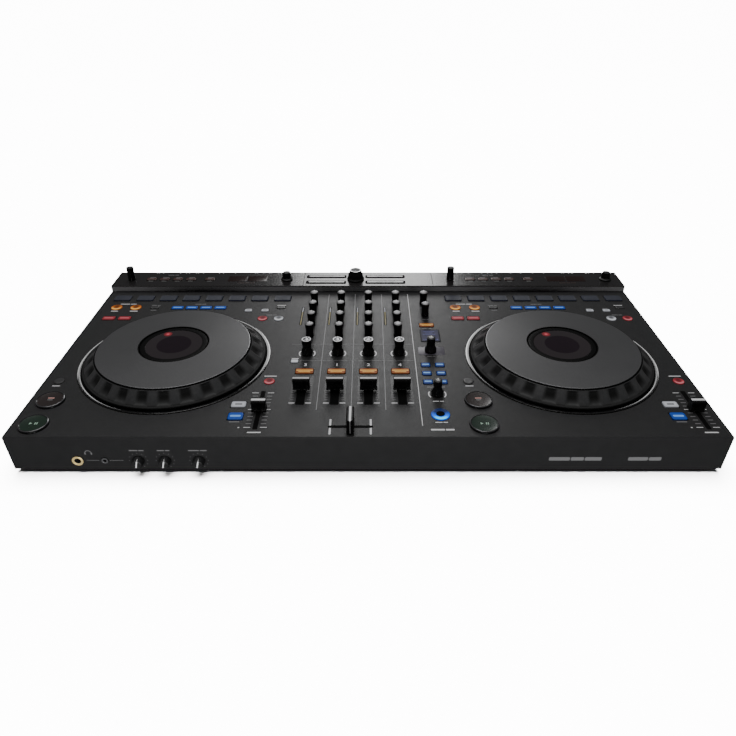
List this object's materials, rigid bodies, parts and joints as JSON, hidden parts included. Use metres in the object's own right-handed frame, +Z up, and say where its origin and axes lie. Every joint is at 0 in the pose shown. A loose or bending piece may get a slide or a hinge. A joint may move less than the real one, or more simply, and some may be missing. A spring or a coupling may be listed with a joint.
{
  "type": "dj controller",
  "caption": "DJ controller with a four-channel mixer between two jog-wheel decks: turning knobs, sliding faders, sprung pads and keys on a flat black case.",
  "frame": {"origin": "middle of the bounding box's bottom, at the level of the surface that the feet stand on", "axes": "+X to the player's right along the longest side, +Y away from the player, +Z up"},
  "size_m": [0.733, 0.396, 0.074],
  "materials": {
    "case": "fine-textured satin black top panel and case",
    "gloss": "glossy black rear panel",
    "steel": "black powder-coated sheet steel",
    "board": "green circuit board with black sockets",
    "rubber": "matt black rubber",
    "socket": "moulded black socket body",
    "screen": "smoked display window",
    "jog": "satin grey platter",
    "knob": "soft-touch black knob with a grey cap",
    "cap": "satin black fader cap",
    "pad": "translucent dark silicone pad",
    "button": "dark translucent button, lit from below",
    "key": "translucent key, lit from below"
  },
  "bodies": {
    "chassis": {"top_panel": "case", "rear_cover": "gloss", "bottom_plate": "steel", "main_board": "board", "front_foot": "rubber", "rear_foot": "rubber", "headphone_sockets": "socket", "jog_display_left": "screen", "jog_display_right": "screen"},
    "trim_knob_1": {"trim_knob_1": "knob"},
    "high_knob_1": {"high_knob_1": "knob"},
    "mid_knob_1": {"mid_knob_1": "knob"},
    "low_knob_1": {"low_knob_1": "knob"},
    "filter_knob_1": {"filter_knob_1": "knob"},
    "trim_knob_2": {"trim_knob_2": "knob"},
    "high_knob_2": {"high_knob_2": "knob"},
    "mid_knob_2": {"mid_knob_2": "knob"},
    "low_knob_2": {"low_knob_2": "knob"},
    "filter_knob_2": {"filter_knob_2": "knob"},
    "trim_knob_3": {"trim_knob_3": "knob"},
    "high_knob_3": {"high_knob_3": "knob"},
    "mid_knob_3": {"mid_knob_3": "knob"},
    "low_knob_3": {"low_knob_3": "knob"},
    "filter_knob_3": {"filter_knob_3": "knob"},
    "trim_knob_4": {"trim_knob_4": "knob"},
    "high_knob_4": {"high_knob_4": "knob"},
    "mid_knob_4": {"mid_knob_4": "knob"},
    "low_knob_4": {"low_knob_4": "knob"},
    "filter_knob_4": {"filter_knob_4": "knob"},
    "fx_time_knob": {"fx_time_knob": "knob"},
    "fx_frequency_knob": {"fx_frequency_knob": "knob"},
    "fx_select_knob": {"fx_select_knob": "knob"},
    "fx_level_knob": {"fx_level_knob": "knob"},
    "browse_knob": {"browse_knob": "knob"},
    "tall_knob_left": {"tall_knob_left": "knob"},
    "skirted_knob_left": {"skirted_knob_left": "knob"},
    "tall_knob_right": {"tall_knob_right": "knob"},
    "skirted_knob_right": {"skirted_knob_right": "knob"},
    "headphone_mix_knob": {"headphone_mix_knob": "knob"},
    "headphone_level_knob": {"headphone_level_knob": "knob"},
    "mic_level_knob": {"mic_level_knob": "knob"},
    "channel_fader_1": {"channel_fader_1": "cap"},
    "channel_fader_2": {"channel_fader_2": "cap"},
    "channel_fader_3": {"channel_fader_3": "cap"},
    "channel_fader_4": {"channel_fader_4": "cap"},
    "crossfader": {"crossfader": "cap"},
    "tempo_fader_left": {"tempo_fader_left": "cap"},
    "tempo_fader_right": {"tempo_fader_right": "cap"},
    "jog_wheel_left": {"jog_wheel_left": "jog"},
    "play_button_left": {"play_button_left": "button"},
    "cue_button_left": {"cue_button_left": "button"},
    "pads_left": {"pads_left": "pad"},
    "deck_keys_left": {"deck_keys_left": "key"},
    "jog_wheel_right": {"jog_wheel_right": "jog"},
    "play_button_right": {"play_button_right": "button"},
    "cue_button_right": {"cue_button_right": "button"},
    "pads_right": {"pads_right": "pad"},
    "deck_keys_right": {"deck_keys_right": "key"},
    "mixer_keys": {"mixer_keys": "key"},
    "rear_keys": {"rear_keys": "key"}
  },
  "joints": [
    {"name": "trim_knob_1_turn", "type": "hinge", "parent": "chassis", "child": "trim_knob_1", "pos_m": [-0.0735, 0.1005, 0.0565], "axis": [0, 0, 1], "range_deg": [-150, 150]},
    {"name": "high_knob_1_turn", "type": "hinge", "parent": "chassis", "child": "high_knob_1", "pos_m": [-0.0735, 0.071, 0.0565], "axis": [0, 0, 1], "range_deg": [-150, 150]},
    {"name": "mid_knob_1_turn", "type": "hinge", "parent": "chassis", "child": "mid_knob_1", "pos_m": [-0.0735, 0.0415, 0.0565], "axis": [0, 0, 1], "range_deg": [-150, 150]},
    {"name": "low_knob_1_turn", "type": "hinge", "parent": "chassis", "child": "low_knob_1", "pos_m": [-0.0735, 0.012, 0.0565], "axis": [0, 0, 1], "range_deg": [-150, 150]},
    {"name": "filter_knob_1_turn", "type": "hinge", "parent": "chassis", "child": "filter_knob_1", "pos_m": [-0.0735, -0.03, 0.0565], "axis": [0, 0, 1], "range_deg": [-150, 150]},
    {"name": "trim_knob_2_turn", "type": "hinge", "parent": "chassis", "child": "trim_knob_2", "pos_m": [-0.0365, 0.1005, 0.0565], "axis": [0, 0, 1], "range_deg": [-150, 150]},
    {"name": "high_knob_2_turn", "type": "hinge", "parent": "chassis", "child": "high_knob_2", "pos_m": [-0.0365, 0.071, 0.0565], "axis": [0, 0, 1], "range_deg": [-150, 150]},
    {"name": "mid_knob_2_turn", "type": "hinge", "parent": "chassis", "child": "mid_knob_2", "pos_m": [-0.0365, 0.0415, 0.0565], "axis": [0, 0, 1], "range_deg": [-150, 150]},
    {"name": "low_knob_2_turn", "type": "hinge", "parent": "chassis", "child": "low_knob_2", "pos_m": [-0.0365, 0.012, 0.0565], "axis": [0, 0, 1], "range_deg": [-150, 150]},
    {"name": "filter_knob_2_turn", "type": "hinge", "parent": "chassis", "child": "filter_knob_2", "pos_m": [-0.0365, -0.03, 0.0565], "axis": [0, 0, 1], "range_deg": [-150, 150]},
    {"name": "trim_knob_3_turn", "type": "hinge", "parent": "chassis", "child": "trim_knob_3", "pos_m": [0.0005, 0.1005, 0.0565], "axis": [0, 0, 1], "range_deg": [-150, 150]},
    {"name": "high_knob_3_turn", "type": "hinge", "parent": "chassis", "child": "high_knob_3", "pos_m": [0.0005, 0.071, 0.0565], "axis": [0, 0, 1], "range_deg": [-150, 150]},
    {"name": "mid_knob_3_turn", "type": "hinge", "parent": "chassis", "child": "mid_knob_3", "pos_m": [0.0005, 0.0415, 0.0565], "axis": [0, 0, 1], "range_deg": [-150, 150]},
    {"name": "low_knob_3_turn", "type": "hinge", "parent": "chassis", "child": "low_knob_3", "pos_m": [0.0005, 0.012, 0.0565], "axis": [0, 0, 1], "range_deg": [-150, 150]},
    {"name": "filter_knob_3_turn", "type": "hinge", "parent": "chassis", "child": "filter_knob_3", "pos_m": [0.0005, -0.03, 0.0565], "axis": [0, 0, 1], "range_deg": [-150, 150]},
    {"name": "trim_knob_4_turn", "type": "hinge", "parent": "chassis", "child": "trim_knob_4", "pos_m": [0.0375, 0.1005, 0.0565], "axis": [0, 0, 1], "range_deg": [-150, 150]},
    {"name": "high_knob_4_turn", "type": "hinge", "parent": "chassis", "child": "high_knob_4", "pos_m": [0.0375, 0.071, 0.0565], "axis": [0, 0, 1], "range_deg": [-150, 150]},
    {"name": "mid_knob_4_turn", "type": "hinge", "parent": "chassis", "child": "mid_knob_4", "pos_m": [0.0375, 0.0415, 0.0565], "axis": [0, 0, 1], "range_deg": [-150, 150]},
    {"name": "low_knob_4_turn", "type": "hinge", "parent": "chassis", "child": "low_knob_4", "pos_m": [0.0375, 0.012, 0.0565], "axis": [0, 0, 1], "range_deg": [-150, 150]},
    {"name": "filter_knob_4_turn", "type": "hinge", "parent": "chassis", "child": "filter_knob_4", "pos_m": [0.0375, -0.03, 0.0565], "axis": [0, 0, 1], "range_deg": [-150, 150]},
    {"name": "fx_time_knob_turn", "type": "hinge", "parent": "chassis", "child": "fx_time_knob", "pos_m": [0.076, 0.1, 0.0565], "axis": [0, 0, 1], "range_deg": [-150, 150]},
    {"name": "fx_frequency_knob_turn", "type": "hinge", "parent": "chassis", "child": "fx_frequency_knob", "pos_m": [0.076, 0.067, 0.0565], "axis": [0, 0, 1], "range_deg": [-150, 150]},
    {"name": "fx_select_knob_turn", "type": "hinge", "parent": "chassis", "child": "fx_select_knob", "pos_m": [0.076, -0.025, 0.0565], "axis": [0, 0, 1], "range_deg": [-150, 150]},
    {"name": "fx_level_knob_turn", "type": "hinge", "parent": "chassis", "child": "fx_level_knob", "pos_m": [0.076, -0.115, 0.0565], "axis": [0, 0, 1], "range_deg": [-150, 150]},
    {"name": "browse_knob_turn", "type": "hinge", "parent": "chassis", "child": "browse_knob", "pos_m": [-0.018, 0.162, 0.0615], "axis": [0, 0, 1], "continuous": true},
    {"name": "tall_knob_left_turn", "type": "hinge", "parent": "chassis", "child": "tall_knob_left", "pos_m": [-0.3432, 0.162, 0.0615], "axis": [0, 0, 1], "range_deg": [-150, 150]},
    {"name": "skirted_knob_left_turn", "type": "hinge", "parent": "chassis", "child": "skirted_knob_left", "pos_m": [-0.1177, 0.162, 0.0615], "axis": [0, 0, 1], "range_deg": [-150, 150]},
    {"name": "tall_knob_right_turn", "type": "hinge", "parent": "chassis", "child": "tall_knob_right", "pos_m": [0.1192, 0.162, 0.0615], "axis": [0, 0, 1], "range_deg": [-150, 150]},
    {"name": "skirted_knob_right_turn", "type": "hinge", "parent": "chassis", "child": "skirted_knob_right", "pos_m": [0.3447, 0.162, 0.0615], "axis": [0, 0, 1], "range_deg": [-150, 150]},
    {"name": "headphone_mix_knob_turn", "type": "hinge", "parent": "chassis", "child": "headphone_mix_knob", "pos_m": [-0.235, -0.194, 0.0165], "axis": [0, -1, 0], "range_deg": [-150, 150]},
    {"name": "headphone_level_knob_turn", "type": "hinge", "parent": "chassis", "child": "headphone_level_knob", "pos_m": [-0.2077, -0.194, 0.0165], "axis": [0, -1, 0], "range_deg": [-150, 150]},
    {"name": "mic_level_knob_turn", "type": "hinge", "parent": "chassis", "child": "mic_level_knob", "pos_m": [-0.173, -0.194, 0.0165], "axis": [0, -1, 0], "range_deg": [-150, 150]},
    {"name": "channel_fader_1_slide", "type": "slide", "parent": "chassis", "child": "channel_fader_1", "axis": [0, 1, 0], "range_m": [-0.0225, 0.0225]},
    {"name": "channel_fader_2_slide", "type": "slide", "parent": "chassis", "child": "channel_fader_2", "axis": [0, 1, 0], "range_m": [-0.0225, 0.0225]},
    {"name": "channel_fader_3_slide", "type": "slide", "parent": "chassis", "child": "channel_fader_3", "axis": [0, 1, 0], "range_m": [-0.0225, 0.0225]},
    {"name": "channel_fader_4_slide", "type": "slide", "parent": "chassis", "child": "channel_fader_4", "axis": [0, 1, 0], "range_m": [-0.0225, 0.0225]},
    {"name": "crossfader_slide", "type": "slide", "parent": "chassis", "child": "crossfader", "axis": [1, 0, 0], "range_m": [-0.02, 0.02]},
    {"name": "tempo_fader_left_slide", "type": "slide", "parent": "chassis", "child": "tempo_fader_left", "axis": [0, 1, 0], "range_m": [-0.031, 0.031]},
    {"name": "tempo_fader_right_slide", "type": "slide", "parent": "chassis", "child": "tempo_fader_right", "axis": [0, 1, 0], "range_m": [-0.031, 0.031]},
    {"name": "jog_wheel_left_spin", "type": "hinge", "parent": "chassis", "child": "jog_wheel_left", "pos_m": [-0.2285, -0.0413, 0.0565], "axis": [0, 0, 1], "continuous": true},
    {"name": "play_button_left_press", "type": "slide", "parent": "chassis", "child": "play_button_left", "axis": [0, 0, -1], "range_m": [0, 0.001], "stiffness_N_per_m": 800, "springref_m": -0.001},
    {"name": "cue_button_left_press", "type": "slide", "parent": "chassis", "child": "cue_button_left", "axis": [0, 0, -1], "range_m": [0, 0.001], "stiffness_N_per_m": 800, "springref_m": -0.001},
    {"name": "pads_left_press", "type": "slide", "parent": "chassis", "child": "pads_left", "axis": [0, 0, -1], "range_m": [0, 0.0012], "stiffness_N_per_m": 1500, "springref_m": -0.001},
    {"name": "deck_keys_left_press", "type": "slide", "parent": "chassis", "child": "deck_keys_left", "axis": [0, 0, -1], "range_m": [0, 0.001], "stiffness_N_per_m": 1500, "springref_m": -0.001},
    {"name": "jog_wheel_right_spin", "type": "hinge", "parent": "chassis", "child": "jog_wheel_right", "pos_m": [0.2285, -0.0413, 0.0565], "axis": [0, 0, 1], "continuous": true},
    {"name": "play_button_right_press", "type": "slide", "parent": "chassis", "child": "play_button_right", "axis": [0, 0, -1], "range_m": [0, 0.001], "stiffness_N_per_m": 800, "springref_m": -0.001},
    {"name": "cue_button_right_press", "type": "slide", "parent": "chassis", "child": "cue_button_right", "axis": [0, 0, -1], "range_m": [0, 0.001], "stiffness_N_per_m": 800, "springref_m": -0.001},
    {"name": "pads_right_press", "type": "slide", "parent": "chassis", "child": "pads_right", "axis": [0, 0, -1], "range_m": [0, 0.0012], "stiffness_N_per_m": 1500, "springref_m": -0.001},
    {"name": "deck_keys_right_press", "type": "slide", "parent": "chassis", "child": "deck_keys_right", "axis": [0, 0, -1], "range_m": [0, 0.001], "stiffness_N_per_m": 1500, "springref_m": -0.001},
    {"name": "mixer_keys_press", "type": "slide", "parent": "chassis", "child": "mixer_keys", "axis": [0, 0, -1], "range_m": [0, 0.001], "stiffness_N_per_m": 1500, "springref_m": -0.001},
    {"name": "rear_keys_press", "type": "slide", "parent": "chassis", "child": "rear_keys", "axis": [0, 0, -1], "range_m": [0, 0.001], "stiffness_N_per_m": 1500, "springref_m": -0.001}
  ]
}
